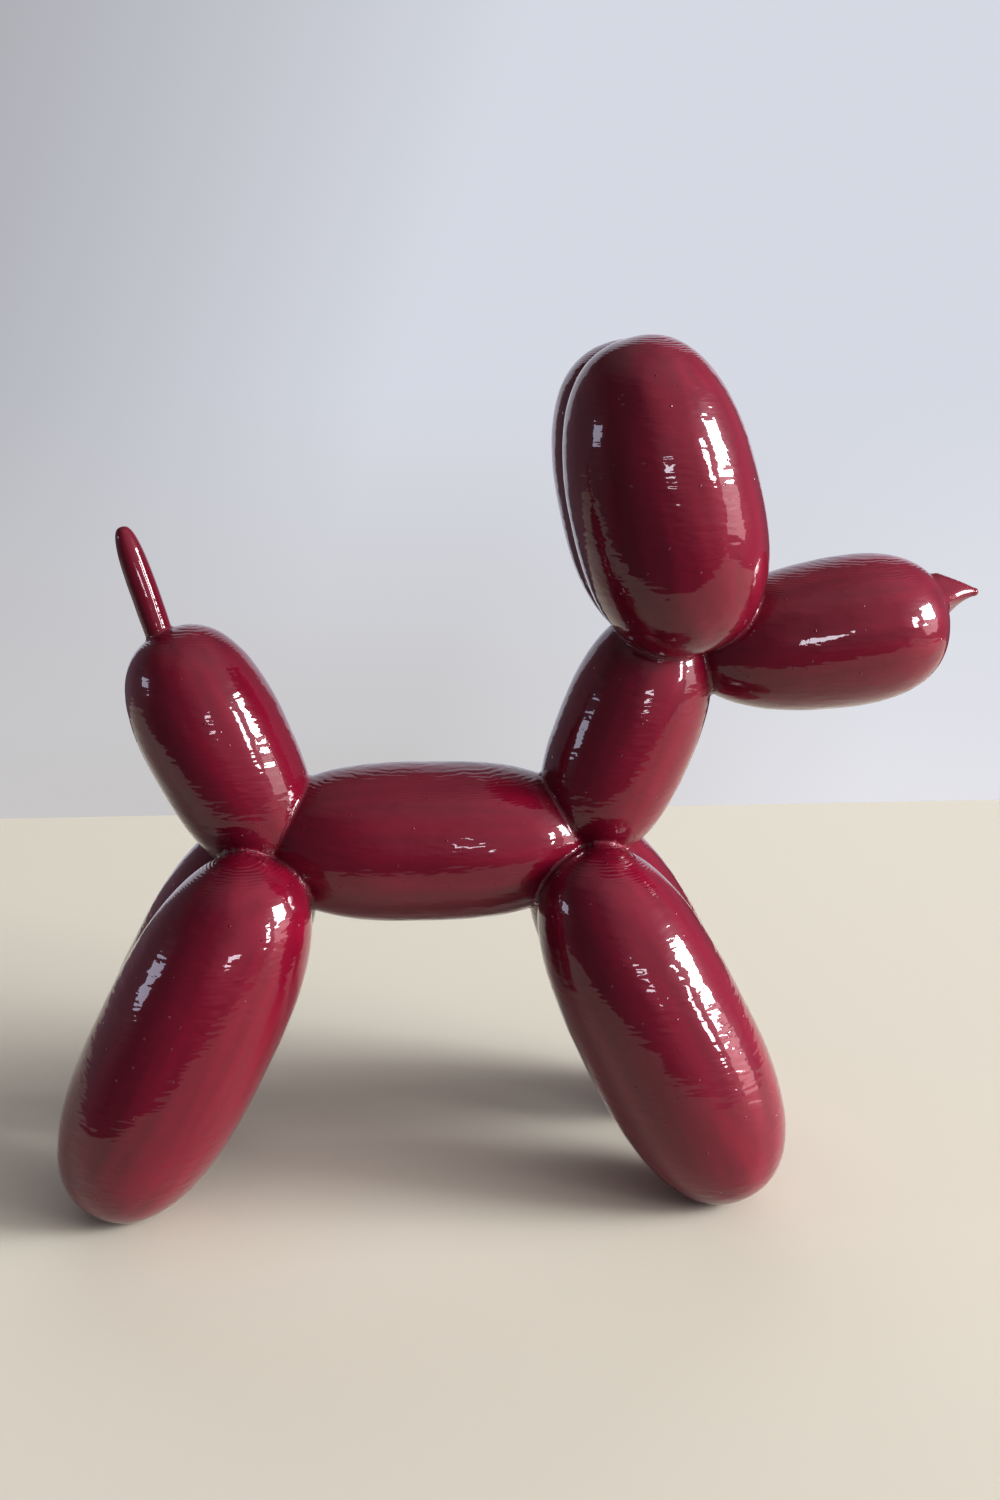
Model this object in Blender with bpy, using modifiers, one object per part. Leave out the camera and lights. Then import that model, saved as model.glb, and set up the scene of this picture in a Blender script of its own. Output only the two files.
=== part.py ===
"""A twisted-balloon dog as a one-piece figurine: ten bubbles, a tail tip and a nose knot.

Metres, +Z up. The dog faces +X and is symmetric about the XZ plane. The origin is on the
ground, at the middle of its length and width.
"""

from collections import namedtuple
from math import asin, copysign, cos, degrees, pi, radians, sin, sqrt

import bpy
from mathutils import Matrix, Vector

OBJECT_NAME = "balloon_dog"

# A lean is degrees from straight up towards the nose, and a rake is degrees from straight down.
# A splay is degrees away from the middle plane. A fullness of 2 makes an ellipse, and more makes
# squarer shoulders. A swell is the share by which a bubble is fatter at its tip than halfway.

# Body, between the twist at the hips and the twist at the shoulders
BODY_SPAN = 0.0805
BODY_RADIUS = 0.0216
BODY_FULLNESS = 2.6
BODY_PAST_HIPS = 0.005
BODY_PAST_SHOULDERS = 0.004

# Hind legs, down and back from the hips
HIND_LENGTH = 0.104
HIND_RADIUS = 0.0228
HIND_FULLNESS = 2.55
HIND_SWELL = 0.01
HIND_RAKE = 27.4
HIND_SPLAY = 5.0
HIND_APART = 0.036
HIND_ROOT_RISE = 0.0005

# Fore legs, down and forward from the shoulders
FORE_LENGTH = 0.103
FORE_RADIUS = 0.0229
FORE_FULLNESS = 2.55
FORE_SWELL = 0.035
FORE_RAKE = 26.5
FORE_SPLAY = 8.0
FORE_APART = 0.030
FORE_ROOT_BACK = 0.002

# Tail, up and back from the hips
TAIL_LENGTH = 0.072
TAIL_RADIUS = 0.0188
TAIL_FULLNESS = 2.5
TAIL_SWELL = 0.065
TAIL_LEAN = -24.1
TAIL_ROOT_AHEAD = 0.0015
TAIL_ROOT_SINK = 0.008

# Tail tip, the thin end of the balloon that holds no air
TIP_LENGTH = 0.040
TIP_RADIUS = 0.0036
TIP_FULLNESS = 3.0
TIP_LEAN = -16.2
TIP_ROOT_AHEAD = 0.0025
TIP_ROOT_SINK = 0.0113

# Neck, up from the shoulders to the twist of the head
NECK_LENGTH = 0.069
NECK_RADIUS = 0.0188
NECK_FULLNESS = 2.5
NECK_LEAN = 21.0
NECK_ROOT_AHEAD = 0.0007
NECK_ROOT_SINK = 0.0033

# Ears, up from the top of the neck and pressed together
EAR_LENGTH = 0.081
EAR_RADIUS = 0.0241
EAR_FULLNESS = 2.4
EAR_SWELL = -0.06
EAR_LEAN = -14.5
EAR_SPLAY = 5.0
EAR_APART = 0.018
EAR_ROOT_AHEAD = 0.0045
EAR_ROOT_SINK = 0.0082

# Snout, forward from the top of the neck
SNOUT_LENGTH = 0.070
SNOUT_RADIUS = 0.0198
SNOUT_FULLNESS = 2.45
SNOUT_SWELL = 0.14
SNOUT_LEAN = 82.0
SNOUT_ROOT_AHEAD = 0.0037
SNOUT_ROOT_SINK = 0.011

# Nose knot, a small hollow-sided cone with a blunt point, high on the end of the snout
KNOT_LENGTH = 0.014
KNOT_FLANK_LENGTH = 0.0095
KNOT_ROOT_RADIUS = 0.0062
KNOT_POINT_RADIUS = 0.0011
KNOT_HOLLOW = 1.35
KNOT_LEAN = 81.0
KNOT_ROOT_BACK = 0.005
KNOT_ROOT_RISE = 0.0044

# How much of each foot is flattened, where it stood on the bed that it was made on
SOLE_DEPTH = 0.0005

# Side of the block that flattens the feet, over the longest of the lower bubbles
GROUND_SPREAD = 4.0

# Fineness of the mesh, and the angle from which an edge is a crease
TURN_STEPS = 28
BUBBLE_RINGS = 16
SMALL_TURN_STEPS = 16
TIP_RINGS = 10
KNOT_POINT_RINGS = 3
KNOT_FLANK_RINGS = 5
DROP_RINGS = 400
AXIS_MERGE = 0.00001
CREASE_ANGLE = 30.0

# Thick dark red gloss lacquer
LACQUER_RED = (0.130, 0.008, 0.018, 1.0)
LACQUER_ROUGHNESS = 0.12

Bubble = namedtuple("Bubble", "length radius fullness swell")
BODY = Bubble(BODY_SPAN + BODY_PAST_HIPS + BODY_PAST_SHOULDERS, BODY_RADIUS, BODY_FULLNESS, 0.0)
HIND_LEG = Bubble(HIND_LENGTH, HIND_RADIUS, HIND_FULLNESS, HIND_SWELL)
FORE_LEG = Bubble(FORE_LENGTH, FORE_RADIUS, FORE_FULLNESS, FORE_SWELL)
TAIL = Bubble(TAIL_LENGTH, TAIL_RADIUS, TAIL_FULLNESS, TAIL_SWELL)
TIP = Bubble(TIP_LENGTH, TIP_RADIUS, TIP_FULLNESS, 0.0)
NECK = Bubble(NECK_LENGTH, NECK_RADIUS, NECK_FULLNESS, 0.0)
EAR = Bubble(EAR_LENGTH, EAR_RADIUS, EAR_FULLNESS, EAR_SWELL)
SNOUT = Bubble(SNOUT_LENGTH, SNOUT_RADIUS, SNOUT_FULLNESS, SNOUT_SWELL)
HIND_LEAN = 180.0 + HIND_RAKE
FORE_LEAN = 180.0 - FORE_RAKE


def clear_scene():
    for leftover in list(bpy.data.objects):
        bpy.data.objects.remove(leftover)


def new_collection(name):
    collection = bpy.data.collections.new(name)
    bpy.context.scene.collection.children.link(collection)
    return collection


def direction(lean, splay=0.0):
    """The unit vector of an axis that leans towards +X and splays towards +Y, in degrees."""
    tilt = radians(lean)
    spread = radians(splay)
    return Vector((sin(tilt) * cos(spread), sin(spread), cos(tilt) * cos(spread)))


def beside(place, ahead=0.0, across=0.0, rise=0.0):
    return place + Vector((ahead, across, rise))


def bubble_profile(bubble, rings):
    """(radius, height) points down the outer side of a bubble, from its tip to its root."""
    half = bubble.length / 2
    power = 2 / bubble.fullness
    points = [(0.0, bubble.length)]
    for ring in range(1, rings):
        angle = pi * ring / rings
        along = copysign(abs(cos(angle)) ** power, cos(angle))
        out = sin(angle) ** power
        points.append((bubble.radius * (1 + bubble.swell * along) * out, half + half * along))
    points.append((0.0, 0.0))
    return points


def knot_profile():
    """(radius, height) points down the nose knot: blunt point, hollow flank, straight root."""
    shoulder = KNOT_LENGTH - KNOT_POINT_RADIUS
    widening = KNOT_ROOT_RADIUS - KNOT_POINT_RADIUS
    points = [(0.0, KNOT_LENGTH)]
    for ring in range(1, KNOT_POINT_RINGS + 1):
        angle = pi / 2 * ring / KNOT_POINT_RINGS
        points.append((KNOT_POINT_RADIUS * sin(angle), shoulder + KNOT_POINT_RADIUS * cos(angle)))
    for ring in range(1, KNOT_FLANK_RINGS + 1):
        share = ring / KNOT_FLANK_RINGS
        radius = KNOT_POINT_RADIUS + widening * share**KNOT_HOLLOW
        points.append((radius, shoulder - KNOT_FLANK_LENGTH * share))
    points.append((KNOT_ROOT_RADIUS, 0.0))
    points.append((0.0, 0.0))
    return points


def drop(bubble, lean, splay):
    """How far the lowest point of a leaning bubble lies below its root."""
    upright = direction(lean, splay).z
    level = sqrt(1 - upright**2)
    profile = bubble_profile(bubble, DROP_RINGS)
    return -min(height * upright - radius * level for radius, height in profile)


def add_turned(name, profile, root, lean, splay, steps, collection):
    """A body of revolution whose axis starts at root and runs along its lean and splay."""
    mesh = bpy.data.meshes.new(name)
    points = [(radius, 0.0, height) for radius, height in profile]
    mesh.from_pydata(points, [(i, i + 1) for i in range(len(points) - 1)], [])
    shape = bpy.data.objects.new(name, mesh)
    shape.location = root
    shape.rotation_euler = (-radians(splay), radians(lean), 0.0)
    turn = shape.modifiers.new("turn", "SCREW")
    turn.axis = "Z"
    turn.steps = steps
    turn.render_steps = steps
    turn.use_merge_vertices = True
    turn.merge_threshold = AXIS_MERGE
    collection.objects.link(shape)
    return shape


def add_bubble(name, bubble, root, lean, splay, collection):
    profile = bubble_profile(bubble, BUBBLE_RINGS)
    return add_turned(name, profile, root, lean, splay, TURN_STEPS, collection)


def add_pair(name, bubble, root, apart, lean, splay, collection):
    """The same bubble on the near side and on the far side of the middle plane."""
    for side, sign in (("near", -1), ("far", 1)):
        start = beside(root, across=sign * apart / 2)
        add_bubble(f"{name}_{side}", bubble, start, lean, sign * splay, collection)


def add_hindquarters(hips, collection):
    """The hind legs, and the tail with its tip."""
    leg_root = beside(hips, rise=HIND_ROOT_RISE)
    add_pair("hind_leg", HIND_LEG, leg_root, HIND_APART, HIND_LEAN, HIND_SPLAY, collection)
    tail_root = beside(hips, ahead=TAIL_ROOT_AHEAD, rise=-TAIL_ROOT_SINK)
    add_bubble("tail", TAIL, tail_root, TAIL_LEAN, 0.0, collection)
    tail_top = tail_root + direction(TAIL_LEAN) * TAIL_LENGTH
    tip_root = beside(tail_top, ahead=TIP_ROOT_AHEAD, rise=-TIP_ROOT_SINK)
    tip_profile = bubble_profile(TIP, TIP_RINGS)
    add_turned("tail_tip", tip_profile, tip_root, TIP_LEAN, 0.0, SMALL_TURN_STEPS, collection)


def add_forequarters(shoulders, collection):
    """The fore legs and the neck. It returns the top of the neck."""
    leg_root = beside(shoulders, ahead=-FORE_ROOT_BACK)
    add_pair("fore_leg", FORE_LEG, leg_root, FORE_APART, FORE_LEAN, FORE_SPLAY, collection)
    neck_root = beside(shoulders, ahead=NECK_ROOT_AHEAD, rise=-NECK_ROOT_SINK)
    add_bubble("neck", NECK, neck_root, NECK_LEAN, 0.0, collection)
    return neck_root + direction(NECK_LEAN) * NECK_LENGTH


def add_head(neck_top, collection):
    """The ears, and the snout with its knot."""
    ear_root = beside(neck_top, ahead=EAR_ROOT_AHEAD, rise=-EAR_ROOT_SINK)
    add_pair("ear", EAR, ear_root, EAR_APART, EAR_LEAN, EAR_SPLAY, collection)
    snout_root = beside(neck_top, ahead=SNOUT_ROOT_AHEAD, rise=-SNOUT_ROOT_SINK)
    add_bubble("snout", SNOUT, snout_root, SNOUT_LEAN, 0.0, collection)
    snout_tip = snout_root + direction(SNOUT_LEAN) * SNOUT_LENGTH
    knot_root = beside(snout_tip, ahead=-KNOT_ROOT_BACK, rise=KNOT_ROOT_RISE)
    add_turned("nose_knot", knot_profile(), knot_root, KNOT_LEAN, 0.0, SMALL_TURN_STEPS, collection)


def add_ground(collection):
    """A block with its top at the ground, wide enough to reach under every foot."""
    side = GROUND_SPREAD * max(BODY_SPAN, HIND_LENGTH, FORE_LENGTH)
    bpy.ops.mesh.primitive_cube_add(size=side, location=(BODY_SPAN / 2, 0, -side / 2))
    ground = bpy.context.active_object
    ground.name = "ground"
    for holder in list(ground.users_collection):
        holder.objects.unlink(ground)
    collection.objects.link(ground)
    return ground


def add_dog(parts, bubbles, cutters):
    """The body, which every other bubble is joined to, and whose feet are then cut flat."""
    hips = Vector((0, 0, drop(HIND_LEG, HIND_LEAN, HIND_SPLAY) - HIND_ROOT_RISE - SOLE_DEPTH))
    shoulder_height = drop(FORE_LEG, FORE_LEAN, FORE_SPLAY) - SOLE_DEPTH
    slope = asin((hips.z - shoulder_height) / BODY_SPAN)
    body_lean = 90 + degrees(slope)
    shoulders = hips + direction(body_lean) * BODY_SPAN
    body_root = hips - direction(body_lean) * BODY_PAST_HIPS
    dog = add_bubble(OBJECT_NAME, BODY, body_root, body_lean, 0.0, parts)

    add_hindquarters(hips, bubbles)
    neck_top = add_forequarters(shoulders, bubbles)
    add_head(neck_top, bubbles)
    join = dog.modifiers.new("join_bubbles", "BOOLEAN")
    join.operation = "UNION"
    join.solver = "EXACT"
    join.operand_type = "COLLECTION"
    join.collection = bubbles

    soles = dog.modifiers.new("flatten_soles", "BOOLEAN")
    soles.operation = "DIFFERENCE"
    soles.solver = "EXACT"
    soles.object = add_ground(cutters)
    return dog


def bake(dog):
    """Applies the modifiers, centres the dog along its length, and keeps its creases sharp."""
    bpy.context.view_layer.update()
    graph = bpy.context.evaluated_depsgraph_get()
    mesh = bpy.data.meshes.new_from_object(dog.evaluated_get(graph))
    mesh.transform(dog.matrix_world)
    reach = [vertex.co.x for vertex in mesh.vertices]
    mesh.transform(Matrix.Translation((-(min(reach) + max(reach)) / 2, 0, 0)))
    mesh.shade_smooth()
    mesh.set_sharp_from_angle(angle=radians(CREASE_ANGLE))
    dog.modifiers.clear()
    dog.data = mesh
    dog.matrix_world = Matrix.Identity(4)


def lacquer():
    material = bpy.data.materials.new("red_lacquer")
    material.use_nodes = True
    material.diffuse_color = LACQUER_RED
    shader = material.node_tree.nodes["Principled BSDF"]
    shader.inputs["Base Color"].default_value = LACQUER_RED
    shader.inputs["Roughness"].default_value = LACQUER_ROUGHNESS
    shader.inputs["Metallic"].default_value = 0.0
    return material


def main():
    clear_scene()
    parts = new_collection(OBJECT_NAME)
    bubbles = new_collection("bubbles")
    cutters = new_collection("cutters")
    dog = add_dog(parts, bubbles, cutters)
    bake(dog)
    dog.data.materials.clear()
    dog.data.materials.append(lacquer())
    for helpers in (bubbles, cutters):
        for helper in list(helpers.objects):
            bpy.data.objects.remove(helper)
        bpy.data.collections.remove(helpers)


main()
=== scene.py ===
"""The looks of the balloon dog figurine: a print under thick, dark red gloss lacquer.

The skin is one fine mesh on the same twelve turned forms as the solid: ten bubbles, the tail's tip
and the nose knot, which gets its folds here. Where two forms meet, the lacquer has pooled into a
fillet, and everywhere it has slow waves. The material adds what is finer: brush streaks, a
mottling, the print's layers and their terraces on top, and pinholes. Metres, +Z up.
"""

from collections import namedtuple
from math import asin, cos, degrees, pi, radians, sin, sqrt

import bmesh
import bpy
import numpy as np
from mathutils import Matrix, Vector


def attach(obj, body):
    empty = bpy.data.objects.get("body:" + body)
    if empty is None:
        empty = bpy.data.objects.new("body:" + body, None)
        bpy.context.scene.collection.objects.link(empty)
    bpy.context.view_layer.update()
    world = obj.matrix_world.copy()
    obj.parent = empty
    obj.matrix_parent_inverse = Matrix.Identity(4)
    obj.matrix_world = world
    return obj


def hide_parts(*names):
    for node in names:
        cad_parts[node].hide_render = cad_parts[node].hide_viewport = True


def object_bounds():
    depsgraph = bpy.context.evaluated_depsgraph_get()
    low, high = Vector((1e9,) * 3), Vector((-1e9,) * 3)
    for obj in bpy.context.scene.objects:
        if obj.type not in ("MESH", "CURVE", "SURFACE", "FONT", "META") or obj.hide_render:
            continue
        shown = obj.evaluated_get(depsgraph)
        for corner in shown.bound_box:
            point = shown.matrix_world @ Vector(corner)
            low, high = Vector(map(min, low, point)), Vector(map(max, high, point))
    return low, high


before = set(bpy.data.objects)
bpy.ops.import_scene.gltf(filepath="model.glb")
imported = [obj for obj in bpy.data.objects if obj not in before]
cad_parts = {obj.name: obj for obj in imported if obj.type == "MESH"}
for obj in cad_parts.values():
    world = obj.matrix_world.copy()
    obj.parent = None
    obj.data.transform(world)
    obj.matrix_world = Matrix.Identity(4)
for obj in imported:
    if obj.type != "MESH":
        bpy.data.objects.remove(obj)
CAD_LOW, CAD_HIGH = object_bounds()
NODE = "balloon_dog"

# The dog's driving dimensions, as the solid has them. A lean is degrees from straight up towards
# the nose, and a splay is degrees away from the middle plane.
Form = namedtuple("Form", "length radius fullness swell lean splay")
BODY_SPAN = 0.0805
BODY_PAST_HIPS = 0.005
BODY_PAST_SHOULDERS = 0.004
BODY = Form(
    length=BODY_SPAN + BODY_PAST_HIPS + BODY_PAST_SHOULDERS,
    radius=0.0216, fullness=2.6, swell=0.0, lean=90.0, splay=0.0,
)
HIND_LEG = Form(length=0.104, radius=0.0228, fullness=2.55, swell=0.01, lean=207.4, splay=5.0)
FORE_LEG = Form(length=0.103, radius=0.0229, fullness=2.55, swell=0.035, lean=153.5, splay=8.0)
TAIL = Form(length=0.072, radius=0.0188, fullness=2.5, swell=0.065, lean=-24.1, splay=0.0)
TIP = Form(length=0.040, radius=0.0036, fullness=3.0, swell=0.0, lean=-16.2, splay=0.0)
NECK = Form(length=0.069, radius=0.0188, fullness=2.5, swell=0.0, lean=21.0, splay=0.0)
EAR = Form(length=0.081, radius=0.0241, fullness=2.4, swell=-0.06, lean=-14.5, splay=5.0)
SNOUT = Form(length=0.070, radius=0.0198, fullness=2.45, swell=0.14, lean=82.0, splay=0.0)

# Where each form starts, from the hips, the shoulders, or the top of the tail or neck
HIND_APART = 0.036
HIND_ROOT_RISE = 0.0005
FORE_APART = 0.030
FORE_ROOT_BACK = 0.002
TAIL_ROOT_AHEAD = 0.0015
TAIL_ROOT_SINK = 0.008
TIP_ROOT_AHEAD = 0.0025
TIP_ROOT_SINK = 0.0113
NECK_ROOT_AHEAD = 0.0007
NECK_ROOT_SINK = 0.0033
EAR_APART = 0.018
EAR_ROOT_AHEAD = 0.0045
EAR_ROOT_SINK = 0.0082
SNOUT_ROOT_AHEAD = 0.0037
SNOUT_ROOT_SINK = 0.011
SOLE_DEPTH = 0.0005

# Nose knot
KNOT_LENGTH = 0.014
KNOT_FLANK_LENGTH = 0.0095
KNOT_ROOT_RADIUS = 0.0062
KNOT_POINT_RADIUS = 0.0011
KNOT_HOLLOW = 1.30
KNOT_HOLLOW_BELOW = 0.45
KNOT_FOLD_DEPTH = 0.26
KNOT_FOLD_MIDDLE = 0.35
KNOT_LEAN = 81.0
KNOT_ROOT_BACK = 0.005
KNOT_ROOT_RISE = 0.0044

# The skin's mesh: its grid, and how near a crease, or the knot and the tail's tip, it is split
# once and twice
GRID = 0.0017
CREASE_BAND = 0.0032
CREASE_CORE = 0.0016
SMALL_BAND = 0.0016
SMALL_CORE = 0.0008
TIP_INDEX = 6
RELAX_ROUNDS = 8
RELAX_SHARE = 0.5
LAYING_ROUNDS = 3
SWELL_REACH = 1.3

# The fillet of lacquer in the creases: the gap between two forms up to which it fills
POOL = 0.0011

# The lacquer's slow waves
WAVE_COUNT = 40
WAVE_SHORTEST = 0.006
WAVE_LONGEST = 0.030
WAVE_SLOPE = 0.017
SEED = 11


def direction(lean, splay=0.0):
    tilt = radians(lean)
    spread = radians(splay)
    return np.array((sin(tilt) * cos(spread), sin(spread), cos(tilt) * cos(spread)))


def drop(form):
    """How far the lowest point of a form lies below its root."""
    half = form.length / 2
    turn = np.linspace(0, pi, 401)
    along = np.sign(np.cos(turn)) * np.abs(np.cos(turn)) ** (2 / form.fullness)
    out = form.radius * (1 + form.swell * along) * np.abs(np.sin(turn)) ** (2 / form.fullness)
    upright = direction(form.lean, form.splay)[2]
    return -(half * (1 + along) * upright - out * sqrt(1 - upright**2)).min()


def mirrored(root, form, apart):
    """The near and the far one of a pair."""
    for sign in (-1, 1):
        yield root + (0, sign * apart / 2, 0), form._replace(splay=sign * form.splay)


def placed_forms():
    """(root, form) of each bubble and the tail tip, and the root of the knot, in the frame."""
    hips = np.array((0, 0, drop(HIND_LEG) - HIND_ROOT_RISE - SOLE_DEPTH))
    slope = asin((hips[2] - drop(FORE_LEG) + SOLE_DEPTH) / BODY_SPAN)
    body = BODY._replace(lean=90 + degrees(slope))
    shoulders = hips + direction(body.lean) * BODY_SPAN
    forms = [(hips - direction(body.lean) * BODY_PAST_HIPS, body)]
    forms += mirrored(hips + (0, 0, HIND_ROOT_RISE), HIND_LEG, HIND_APART)
    forms += mirrored(shoulders - (FORE_ROOT_BACK, 0, 0), FORE_LEG, FORE_APART)
    tail_root = hips + (TAIL_ROOT_AHEAD, 0, -TAIL_ROOT_SINK)
    tail_top = tail_root + direction(TAIL.lean) * TAIL.length
    forms += [(tail_root, TAIL), (tail_top + (TIP_ROOT_AHEAD, 0, -TIP_ROOT_SINK), TIP)]
    neck_root = shoulders + (NECK_ROOT_AHEAD, 0, -NECK_ROOT_SINK)
    neck_top = neck_root + direction(NECK.lean) * NECK.length
    forms.append((neck_root, NECK))
    forms += mirrored(neck_top + (EAR_ROOT_AHEAD, 0, -EAR_ROOT_SINK), EAR, EAR_APART)
    snout_root = neck_top + (SNOUT_ROOT_AHEAD, 0, -SNOUT_ROOT_SINK)
    forms.append((snout_root, SNOUT))
    snout_tip = snout_root + direction(SNOUT.lean) * SNOUT.length
    knot_root = snout_tip + (-KNOT_ROOT_BACK, 0, KNOT_ROOT_RISE)
    knot_reach = (knot_root + direction(KNOT_LEAN) * KNOT_LENGTH)[0]
    centring = np.array((CAD_HIGH.x - knot_reach, 0, 0))
    return [(root + centring, form) for root, form in forms], knot_root + centring


def split(points, root, axis):
    """How far each point lies along an axis from its root, how far off it, and which way."""
    offset = points - root
    along = offset @ axis
    aside = offset - along[:, None] * axis
    off = np.maximum(np.linalg.norm(aside, axis=1), 1e-9)
    return along, off, aside / off[:, None]


def form_distance(points, root, form):
    """Each point's distance from a form's surface, less than 0 inside, and the way out."""
    axis = direction(form.lean, form.splay)
    half = form.length / 2
    along, off, aside = split(points, root + axis * half, axis)
    share = along / half
    width = form.radius * (1 + form.swell * np.clip(share, -SWELL_REACH, SWELL_REACH))
    ahead = np.maximum(np.abs(share), 1e-9)
    out = off / width
    power = form.fullness
    level = (ahead**power + out**power) ** (1 / power)
    rise = level ** (1 - power)
    by_out = rise * out ** (power - 1) / width
    by_along = rise * ahead ** (power - 1) * np.sign(along) / half
    by_along -= by_out * out * form.radius * form.swell / half
    steep = np.hypot(by_along, by_out)
    way = (by_along[:, None] * axis + by_out[:, None] * aside) / steep[:, None]
    return (level - 1) / steep, way


def knot_distance(points, root):
    """The same for the nose knot: a cone with four folds, hollow below, and a round point."""
    axis = direction(KNOT_LEAN)
    along, off, aside = split(points, root, axis)
    shoulder = KNOT_LENGTH - KNOT_POINT_RADIUS
    share = np.clip((shoulder - along) / KNOT_FLANK_LENGTH, 1e-6, 1)
    upward = aside @ direction(KNOT_LEAN - 90)
    hollow = KNOT_HOLLOW - KNOT_HOLLOW_BELOW * upward
    # Twice up times aside is the sine of twice the angle round the knot, so there are four folds
    folded = KNOT_FOLD_MIDDLE - 2 * np.abs(upward * aside[:, 1])
    fold = 1 + KNOT_FOLD_DEPTH * np.sqrt(share) * folded
    widening = KNOT_ROOT_RADIUS * fold - KNOT_POINT_RADIUS
    radius = KNOT_POINT_RADIUS + widening * share**hollow
    flare = widening * hollow * share ** (hollow - 1) / KNOT_FLANK_LENGTH * (share < 1)
    long = np.sqrt(1 + flare**2)
    distance = (off - radius) / long
    way = (flare[:, None] * axis + aside) / long[:, None]
    past = along - shoulder
    reach = np.maximum(np.hypot(past, off), 1e-9)
    round_way = (past[:, None] * axis + off[:, None] * aside) / reach[:, None]
    at_point = past > 0
    distance = np.where(at_point, reach - KNOT_POINT_RADIUS, distance)
    way = np.where(at_point[:, None], round_way, way)
    behind = -along > distance
    return np.where(behind, -along, distance), np.where(behind[:, None], -axis, way)


def all_distances(points, forms, knot_root):
    found = [form_distance(points, root, form) for root, form in forms]
    found.append(knot_distance(points, knot_root))
    return found


def skin_distance(points, forms, knot_root):
    """Distance from the whole skin, with a fillet of lacquer wherever two forms meet."""
    found = all_distances(points, forms, knot_root)
    distance, way = found[0]
    for other, other_way in found[1:]:
        mix = np.clip(0.5 + (other - distance) / (2 * POOL), 0, 1)
        distance = mix * distance + (1 - mix) * other - POOL * mix * (1 - mix)
        way = mix[:, None] * way + (1 - mix[:, None]) * other_way
    return distance, way / np.linalg.norm(way, axis=1)[:, None]


def crease_gap(points, forms, knot_root):
    """How much farther the second nearest form is than the nearest."""
    distances = np.stack([np.abs(d) for d, _ in all_distances(points, forms, knot_root)])
    nearest = np.partition(distances, 1, axis=0)
    return nearest[1] - nearest[0]


def points_of(mesh):
    points = np.empty(len(mesh.vertices) * 3, np.float32)
    mesh.vertices.foreach_get("co", points)
    return points.reshape(-1, 3).astype(float)


def edges_of(mesh):
    edges = np.empty(len(mesh.edges) * 2, np.int32)
    mesh.edges.foreach_get("vertices", edges)
    return edges.reshape(-1, 2)


def remeshed():
    """A copy of the solid's mesh on an even grid."""
    holder = bpy.data.objects.new("grid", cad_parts[NODE].data.copy())
    bpy.context.scene.collection.objects.link(holder)
    remesh = holder.modifiers.new("grid", "REMESH")
    remesh.mode = "VOXEL"
    remesh.voxel_size = GRID
    graph = bpy.context.evaluated_depsgraph_get()
    mesh = bpy.data.meshes.new_from_object(holder.evaluated_get(graph))
    bpy.data.objects.remove(holder)
    return mesh


def split_faces(mesh, chosen):
    """Splits the faces that touch a chosen point into four."""
    work = bmesh.new()
    work.from_mesh(mesh)
    work.verts.ensure_lookup_table()
    faces = [face for face in work.faces if any(chosen[v.index] for v in face.verts)]
    edges = {edge for face in faces for edge in face.edges}
    bmesh.ops.subdivide_edges(work, edges=list(edges), cuts=1, use_grid_fill=True)
    work.to_mesh(mesh)
    work.free()


def refine(mesh, forms, knot_root):
    """A finer mesh beside the creases, and on the knot and the tail's tip."""
    tip_root, tip = forms[TIP_INDEX]
    for band, around in ((CREASE_BAND, SMALL_BAND), (CREASE_CORE, SMALL_CORE)):
        points = points_of(mesh)
        from_knot, _ = knot_distance(points, knot_root)
        from_tip, _ = form_distance(points, tip_root, tip)
        at_small_form = np.minimum(from_knot, from_tip) < around
        split_faces(mesh, (crease_gap(points, forms, knot_root) < band) | at_small_form)


def laid(points, forms, knot_root, rounds=LAYING_ROUNDS):
    """The points moved onto the skin, and the way out of it at each."""
    for _ in range(rounds):
        distance, way = skin_distance(points, forms, knot_root)
        points = points - distance[:, None] * way
    return points, way


def relaxed(points, edges, forms, knot_root):
    """Evens out the mesh by drawing each point towards its neighbours, along the skin."""
    count = np.bincount(edges.ravel(), minlength=len(points))[:, None]
    for _ in range(RELAX_ROUNDS):
        middle = np.zeros_like(points)
        np.add.at(middle, edges[:, 0], points[edges[:, 1]])
        np.add.at(middle, edges[:, 1], points[edges[:, 0]])
        points = points + RELAX_SHARE * (middle / count - points)
        points, way = laid(points, forms, knot_root, rounds=1)
    return laid(points, forms, knot_root)


def waves(points):
    """The height of the lacquer's slow waves at each point."""
    chance = np.random.default_rng(SEED)
    height = np.zeros(len(points))
    for _ in range(WAVE_COUNT):
        length = WAVE_SHORTEST * (WAVE_LONGEST / WAVE_SHORTEST) ** chance.random()
        heading = chance.normal(size=3)
        heading /= np.linalg.norm(heading)
        phase = 2 * pi * chance.random()
        size = WAVE_SLOPE * length / (2 * pi) / sqrt(WAVE_COUNT / 2)
        height += size * np.sin(points @ heading * 2 * pi / length + phase)
    return height


def brush_frame(points, forms, knot_root):
    """Each point's place in the frame of its own form, whose Z runs along the brush's strokes."""
    distances = np.stack([d for d, _ in all_distances(points, forms, knot_root)][:-1])
    nearest = distances.argmin(axis=0)
    place = np.zeros_like(points)
    for index, (root, form) in enumerate(forms):
        mine = nearest == index
        turn = Vector(direction(form.lean, form.splay)).to_track_quat("Z", "Y").to_matrix()
        place[mine] = (points[mine] - root) @ np.array(turn) + index * form.length
    return place


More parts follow.
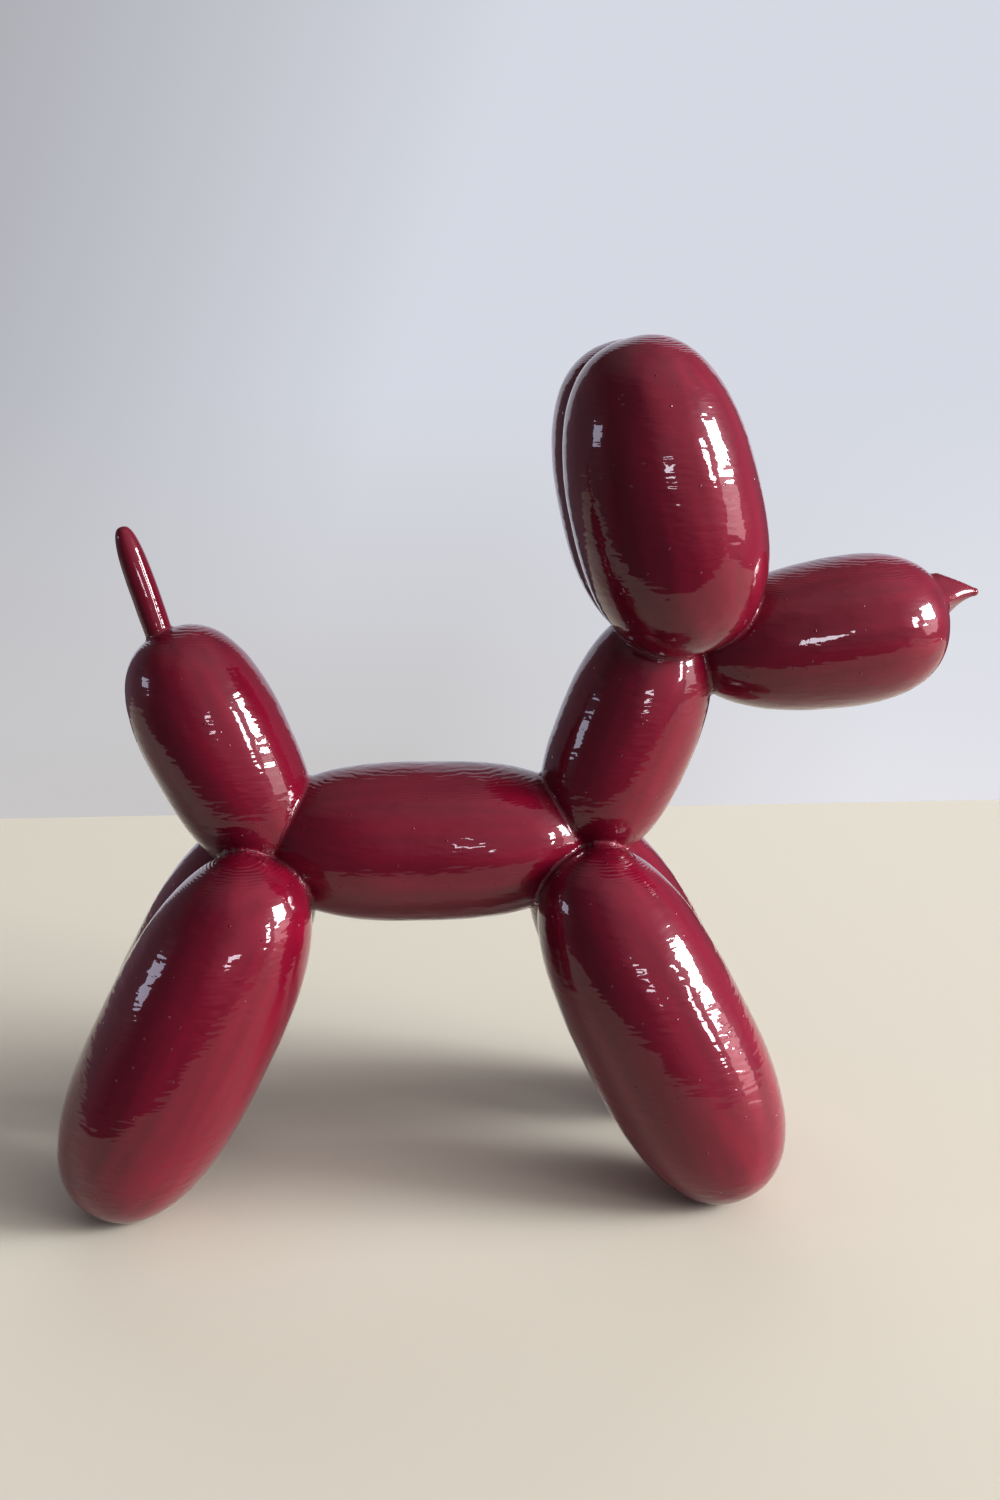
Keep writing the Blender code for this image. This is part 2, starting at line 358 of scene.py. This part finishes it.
def add_skin():
    """The dog's lacquered skin, which stands for the solid."""
    forms, knot_root = placed_forms()
    mesh = remeshed()
    refine(mesh, forms, knot_root)
    points, way = relaxed(points_of(mesh), edges_of(mesh), forms, knot_root)
    strokes = brush_frame(points, forms, knot_root)
    points = points + waves(points)[:, None] * way
    points = np.clip(points, np.array(CAD_LOW), np.array(CAD_HIGH))
    mesh.vertices.foreach_set("co", points.astype(np.float32).ravel())
    grain = mesh.attributes.new("strokes", "FLOAT_VECTOR", "POINT")
    grain.data.foreach_set("vector", strokes.astype(np.float32).ravel())
    mesh.update()
    mesh.shade_smooth()
    skin = bpy.data.objects.new("lacquered_skin", mesh)
    bpy.context.scene.collection.objects.link(skin)
    mesh.materials.clear()
    mesh.materials.append(lacquer())
    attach(skin, "root")
    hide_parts(NODE)


def add_node(tree, kind, **values):
    node = tree.nodes.new(kind)
    for name, value in values.items():
        setattr(node, name, value)
    return node


def feed(tree, value, target):
    """Links a socket to a node's input, or sets the input to a value."""
    if isinstance(value, bpy.types.NodeSocket):
        tree.links.new(value, target)
    else:
        target.default_value = value


def scaled(tree, vector, scale):
    node = add_node(tree, "ShaderNodeVectorMath", operation="MULTIPLY")
    feed(tree, vector, node.inputs[0])
    feed(tree, scale, node.inputs[1])
    return node.outputs[0]


def noise(tree, vector, detail):
    node = add_node(tree, "ShaderNodeTexNoise")
    feed(tree, 1.0, node.inputs["Scale"])
    feed(tree, detail, node.inputs["Detail"])
    feed(tree, vector, node.inputs["Vector"])
    return node.outputs["Fac"]


def even_noise(tree, place, size):
    """Noise whose lumps are the same size every way."""
    return noise(tree, scaled(tree, place, (1 / size,) * 3), NOISE_DETAIL)


def bump(tree, height, distance, under=None):
    """A bump on top of the normal under it."""
    node = add_node(tree, "ShaderNodeBump")
    feed(tree, distance, node.inputs["Distance"])
    feed(tree, height, node.inputs["Height"])
    if under:
        feed(tree, under, node.inputs["Normal"])
    return node.outputs["Normal"]


def mixed(tree, share, first, second, blend_type="MIX"):
    """A mix of two colours, each one a value or a socket."""
    node = add_node(tree, "ShaderNodeMix", data_type="RGBA", blend_type=blend_type)
    for name, value in (("Factor", share), ("A", first), ("B", second)):
        feed(tree, value, node.inputs[name])
    return node.outputs["Result"]


def worked(tree, operation, *values):
    """The result of a sum on one or two values or sockets."""
    node = add_node(tree, "ShaderNodeMath", operation=operation)
    for value, target in zip(values, node.inputs):
        feed(tree, value, target)
    return node.outputs[0]


def stretched(tree, value, low, high):
    """A value stretched so that low becomes 0 and high becomes 1, and no further."""
    node = add_node(tree, "ShaderNodeMapRange")
    feed(tree, value, node.inputs["Value"])
    feed(tree, low, node.inputs["From Min"])
    feed(tree, high, node.inputs["From Max"])
    return node.outputs["Result"]


def upward_part(tree, vector):
    node = add_node(tree, "ShaderNodeSeparateXYZ")
    feed(tree, vector, node.inputs[0])
    return node.outputs["Z"]


# The lacquer: its two reds, and the size and height of each thing on it
DEEP_RED = (0.128, 0.0024, 0.0165, 1.0)
BRIGHT_RED = (0.180, 0.0038, 0.0228, 1.0)
RED_SPAN = (0.30, 0.70)
NOISE_DETAIL = 2.0
STREAK_ACROSS = 0.0050
STREAK_ALONG = 0.060
STREAK_DETAIL = 1.5
STREAK_HEIGHT = 0.000040
MOTTLE_SIZE = 0.0015
MOTTLE_HEIGHT = 0.000018
LAYER_ACROSS = 0.0060
LAYER_RISE = 0.0018
LAYER_DETAIL = 1.2
LAYER_HEIGHT = 0.000230
PATCH_SIZE = 0.0145
PATCH_SPAN = (0.25, 0.65)
TERRACE_RISE = 0.00060
TERRACE_HEIGHT = 0.000045
TERRACE_PATCH = 0.006
TERRACE_WANDER = 14.0
TERRACE_SPAN = (0.62, 0.90)
PINHOLE_SPACING = 0.0042
PINHOLE_SIZE = 0.09
PINHOLE_HEIGHT = 0.00020
LACQUER_FINISH = {
    "Roughness": 0.30,
    "Specular IOR Level": 0.1,
    "Coat Weight": 1.0,
    "Coat Roughness": 0.01,
    "Coat IOR": 1.55,
}


def add_streaks(tree, strokes):
    """Long streaks of the brush, which ran along each form."""
    scale = (1 / STREAK_ACROSS, 1 / STREAK_ACROSS, 1 / STREAK_ALONG)
    return noise(tree, scaled(tree, strokes, scale), STREAK_DETAIL)


def add_layers(tree, place, patches):
    """The print's layers, which the lacquer hides better in some patches than in others."""
    scale = (1 / LAYER_ACROSS, 1 / LAYER_ACROSS, 1 / LAYER_RISE)
    layers = noise(tree, scaled(tree, place, scale), LAYER_DETAIL)
    return worked(tree, "MULTIPLY", layers, patches)


def add_terraces(tree, place, patches):
    """The layers' steps, where the top of a form is nearly level."""
    outward = add_node(tree, "ShaderNodeNewGeometry").outputs["Normal"]
    levelness = stretched(tree, upward_part(tree, outward), *TERRACE_SPAN)
    rise = upward_part(tree, scaled(tree, place, (0, 0, 2 * pi / TERRACE_RISE)))
    wander = even_noise(tree, place, TERRACE_PATCH)
    rise = worked(tree, "ADD", rise, worked(tree, "MULTIPLY", wander, TERRACE_WANDER))
    steps = worked(tree, "MULTIPLY", worked(tree, "SINE", rise), levelness)
    return worked(tree, "MULTIPLY", steps, patches)


def add_pinholes(tree, place):
    cells = add_node(tree, "ShaderNodeTexVoronoi")
    feed(tree, 1 / PINHOLE_SPACING, cells.inputs["Scale"])
    feed(tree, place, cells.inputs["Vector"])
    return stretched(tree, cells.outputs["Distance"], PINHOLE_SIZE, 0.0)


def lacquer():
    """Thick gloss lacquer: a deep red in brush streaks, under a clear gloss coat."""
    material = bpy.data.materials.new("red_lacquer")
    material.use_nodes = True
    tree = material.node_tree
    shader = tree.nodes["Principled BSDF"]
    place = add_node(tree, "ShaderNodeTexCoord").outputs["Object"]
    strokes = add_node(tree, "ShaderNodeAttribute", attribute_name="strokes").outputs["Vector"]
    patches = stretched(tree, even_noise(tree, place, PATCH_SIZE), *PATCH_SPAN)

    streaks = add_streaks(tree, strokes)
    normal = bump(tree, streaks, STREAK_HEIGHT)
    normal = bump(tree, even_noise(tree, place, MOTTLE_SIZE), MOTTLE_HEIGHT, normal)
    normal = bump(tree, add_terraces(tree, place, patches), TERRACE_HEIGHT, normal)
    normal = bump(tree, add_layers(tree, place, patches), LAYER_HEIGHT, normal)
    normal = bump(tree, add_pinholes(tree, place), PINHOLE_HEIGHT, normal)
    feed(tree, normal, shader.inputs["Normal"])
    feed(tree, normal, shader.inputs["Coat Normal"])

    red = mixed(tree, stretched(tree, streaks, *RED_SPAN), DEEP_RED, BRIGHT_RED)
    feed(tree, red, shader.inputs["Base Color"])
    for name, value in LACQUER_FINISH.items():
        shader.inputs[name].default_value = value
    return material


# The board: how far it reaches behind, in front and to each side of the dog, how much its near
# edge slants, and the gap that keeps its top off the soles
BOARD_FAR = 0.360
BOARD_NEAR = -0.196
BOARD_SIDE = 0.75
BOARD_SKEW = 0.36
BOARD_THICK = 0.018
BOARD_ROUND = 0.002
BOARD_ROUND_STEPS = 3
BOARD_GAP = 0.00002
BOARD_FINISH = {
    "Base Color": (0.65, 0.63, 0.535, 1.0),
    "Roughness": 0.75,
    "Specular IOR Level": 0.2,
}


def add_board():
    """The plain pale board that the dog stands on. Its near edge runs away to the left."""
    rim = [(x, BOARD_NEAR - x * BOARD_SKEW) for x in (-BOARD_SIDE, BOARD_SIDE)]
    rim += [(x, BOARD_FAR) for x in (BOARD_SIDE, -BOARD_SIDE)]
    work = bmesh.new()
    top = work.faces.new([work.verts.new((x, y, -BOARD_GAP)) for x, y in rim])
    lower = bmesh.ops.extrude_face_region(work, geom=[top])["geom"]
    corners = [item for item in lower if isinstance(item, bmesh.types.BMVert)]
    bmesh.ops.translate(work, verts=corners, vec=(0, 0, -BOARD_THICK))
    bmesh.ops.recalc_face_normals(work, faces=work.faces)
    mesh = bpy.data.meshes.new("board")
    work.to_mesh(mesh)
    work.free()
    board = bpy.data.objects.new("board", mesh)
    bpy.context.scene.collection.objects.link(board)
    edge = board.modifiers.new("edge", "BEVEL")
    edge.width = BOARD_ROUND
    edge.segments = BOARD_ROUND_STEPS
    material = bpy.data.materials.new("pale_board")
    material.use_nodes = True
    shader = material.node_tree.nodes["Principled BSDF"]
    for name, value in BOARD_FINISH.items():
        shader.inputs[name].default_value = value
    mesh.materials.append(material)


# Each light, turned towards the dog: its middle, how wide and high it is, its brightness, its
# colour and if the gloss mirrors it
Panel = namedtuple("Panel", "name place wide high bright colour mirrored")
PANELS = (
    Panel("window", (4.39, -1.21, 1.57), 1.50, 1.43, 33.0, (0.97, 0.98, 1.0), True),
    Panel("window_spread", (4.39, -1.21, 1.57), 3.14, 2.90, 8.0, (0.97, 0.98, 1.0), False),
    Panel("window_side", (3.67, -2.69, 1.09), 0.42, 1.08, 24.0, (0.95, 0.97, 1.0), True),
    Panel("under_window", (4.41, -1.10, 0.25), 2.00, 0.98, 2.7, (1.0, 0.82, 0.80), True),
    Panel("doorway", (0.12, -0.90, 0.21), 0.17, 0.07, 12.0, (0.86, 0.90, 1.0), True),
    Panel("front_fill", (0.26, -0.42, 0.42), 0.24, 0.24, 1.2, (1.0, 0.92, 0.90), False),
    Panel("left_window", (-0.774, -0.128, 0.27), 0.20, 0.13, 5.0, (0.74, 0.80, 1.0), True),
    Panel("wall_top", (0.0, 0.62, 0.55), 1.0, 0.40, 0.8, (0.97, 0.96, 1.0), False),
)
DOG_MIDDLE = Vector((0, 0, 0.11))


def add_panels():
    """Soft lights that the camera itself doesn't see."""
    for panel in PANELS:
        data = bpy.data.lights.new(panel.name, "AREA")
        data.shape = "RECTANGLE"
        data.size = panel.wide
        data.size_y = panel.high
        data.energy = panel.bright * pi * panel.wide * panel.high
        data.color = panel.colour
        light = bpy.data.objects.new(panel.name, data)
        light.location = panel.place
        light.rotation_euler = (DOG_MIDDLE - light.location).to_track_quat("-Z", "Y").to_euler()
        light.visible_camera = False
        light.visible_glossy = panel.mirrored
        bpy.context.scene.collection.objects.link(light)


# What stands round the dog as soft glows: where each lies, in degrees round from the front
# towards the right and up, the angles where it starts to fade and ends, and its colour
Glow = namedtuple("Glow", "azimuth elevation full faded colour")
GLOWS = (
    Glow(180, 14, 31, 34, (0.60, 0.62, 0.70, 1.0)),
    Glow(46, 30, 20, 60, (0.46, 0.39, 0.385, 1.0)),
    Glow(100, 20, 15, 60, (0.24, 0.23, 0.26, 1.0)),
    Glow(0, 90, 20, 50, (0.30, 0.27, 0.27, 1.0)),
)
# Dim parts of the room that only the gloss shows
SHEENS = (
    Glow(-115, 0, 10, 50, (0.22, 0.175, 0.215, 1.0)),
    Glow(0, 10, 0, 120, (0.16, 0.135, 0.155, 1.0)),
)
BLACK = (0.0, 0.0, 0.0, 1.0)
ROOM_COLOUR = (0.030, 0.023, 0.028, 1.0)

# The wall behind, for the camera alone: its colours from left to right, high up and low down, and
# where each pair of colours meets. These colours are painted shade on the wall: darker towards the
# left and high up.
BACKDROP_HIGH_LEFT = (0.44, 0.445, 0.475, 1.0)
BACKDROP_HIGH_RIGHT = (0.64, 0.66, 0.72, 1.0)
BACKDROP_HIGH_SPAN = (-0.30, 0.0)
BACKDROP_LOW_LEFT = (0.56, 0.55, 0.555, 1.0)
BACKDROP_LOW_RIGHT = (0.72, 0.72, 0.76, 1.0)
BACKDROP_LOW_SPAN = (0.10, 0.40)
BACKDROP_FALL_SPAN = (0.0, 0.25)
BACKDROP_SLANT = (1.0, 0.0, -0.4)
DOWN = (0.0, 0.0, -1.0)


def towards(azimuth, elevation):
    turn, up = radians(azimuth), radians(elevation)
    return sin(turn) * cos(up), -cos(turn) * cos(up), sin(up)


def facing(tree, heading, way):
    """How nearly the heading runs the given way."""
    node = add_node(tree, "ShaderNodeVectorMath", operation="DOT_PRODUCT")
    feed(tree, heading, node.inputs[0])
    feed(tree, way, node.inputs[1])
    return node.outputs["Value"]


def glowing(tree, heading, glows, colour):
    """A colour with the glows added to it."""
    for glow in glows:
        nearness = facing(tree, heading, towards(glow.azimuth, glow.elevation))
        share = stretched(tree, nearness, cos(radians(glow.faded)), cos(radians(glow.full)))
        colour = mixed(tree, share, colour, glow.colour, blend_type="ADD")
    return colour


def set_world():
    """A pale backdrop for the camera, and for the light the glows of a plain room."""
    world = bpy.data.worlds.new("room")
    world.use_nodes = True
    bpy.context.scene.world = world
    tree = world.node_tree
    heading = add_node(tree, "ShaderNodeTexCoord").outputs["Generated"]
    room = glowing(tree, heading, GLOWS, ROOM_COLOUR)
    sheen = glowing(tree, heading, SHEENS, BLACK)
    path = add_node(tree, "ShaderNodeLightPath")
    room = mixed(tree, path.outputs["Is Glossy Ray"], room, sheen, blend_type="ADD")
    # The backdrop's painted shade: darker towards the left and high up
    aside = facing(tree, heading, BACKDROP_SLANT)
    high_share = stretched(tree, aside, *BACKDROP_HIGH_SPAN)
    high = mixed(tree, high_share, BACKDROP_HIGH_LEFT, BACKDROP_HIGH_RIGHT)
    low_share = stretched(tree, aside, *BACKDROP_LOW_SPAN)
    low = mixed(tree, low_share, BACKDROP_LOW_LEFT, BACKDROP_LOW_RIGHT)
    lowness = stretched(tree, facing(tree, heading, DOWN), *BACKDROP_FALL_SPAN)
    backdrop = mixed(tree, lowness, high, low)
    shown = mixed(tree, path.outputs["Is Camera Ray"], room, backdrop)
    feed(tree, shown, tree.nodes["Background"].inputs["Color"])


CAMERA_PLACE = (-0.0319, -0.38966, 0.21274)
CAMERA_AZIMUTH = -3.916
CAMERA_TILT = -13.59
CAMERA_LENS = 36.0
CAMERA_SENSOR = 36.0
EXPOSURE = 0.15
GAMMA = 0.86


def add_camera():
    data = bpy.data.cameras.new("camera")
    data.lens = CAMERA_LENS
    data.sensor_width = CAMERA_SENSOR
    data.sensor_fit = "AUTO"
    camera = bpy.data.objects.new("camera", data)
    camera.location = CAMERA_PLACE
    camera.rotation_euler = (radians(90 + CAMERA_TILT), 0, radians(CAMERA_AZIMUTH))
    bpy.context.scene.collection.objects.link(camera)
    bpy.context.scene.camera = camera


def set_view():
    view = bpy.context.scene.view_settings
    view.view_transform = "Standard"
    view.exposure = EXPOSURE
    view.gamma = GAMMA


add_skin()
add_board()
add_panels()
set_world()
add_camera()
set_view()
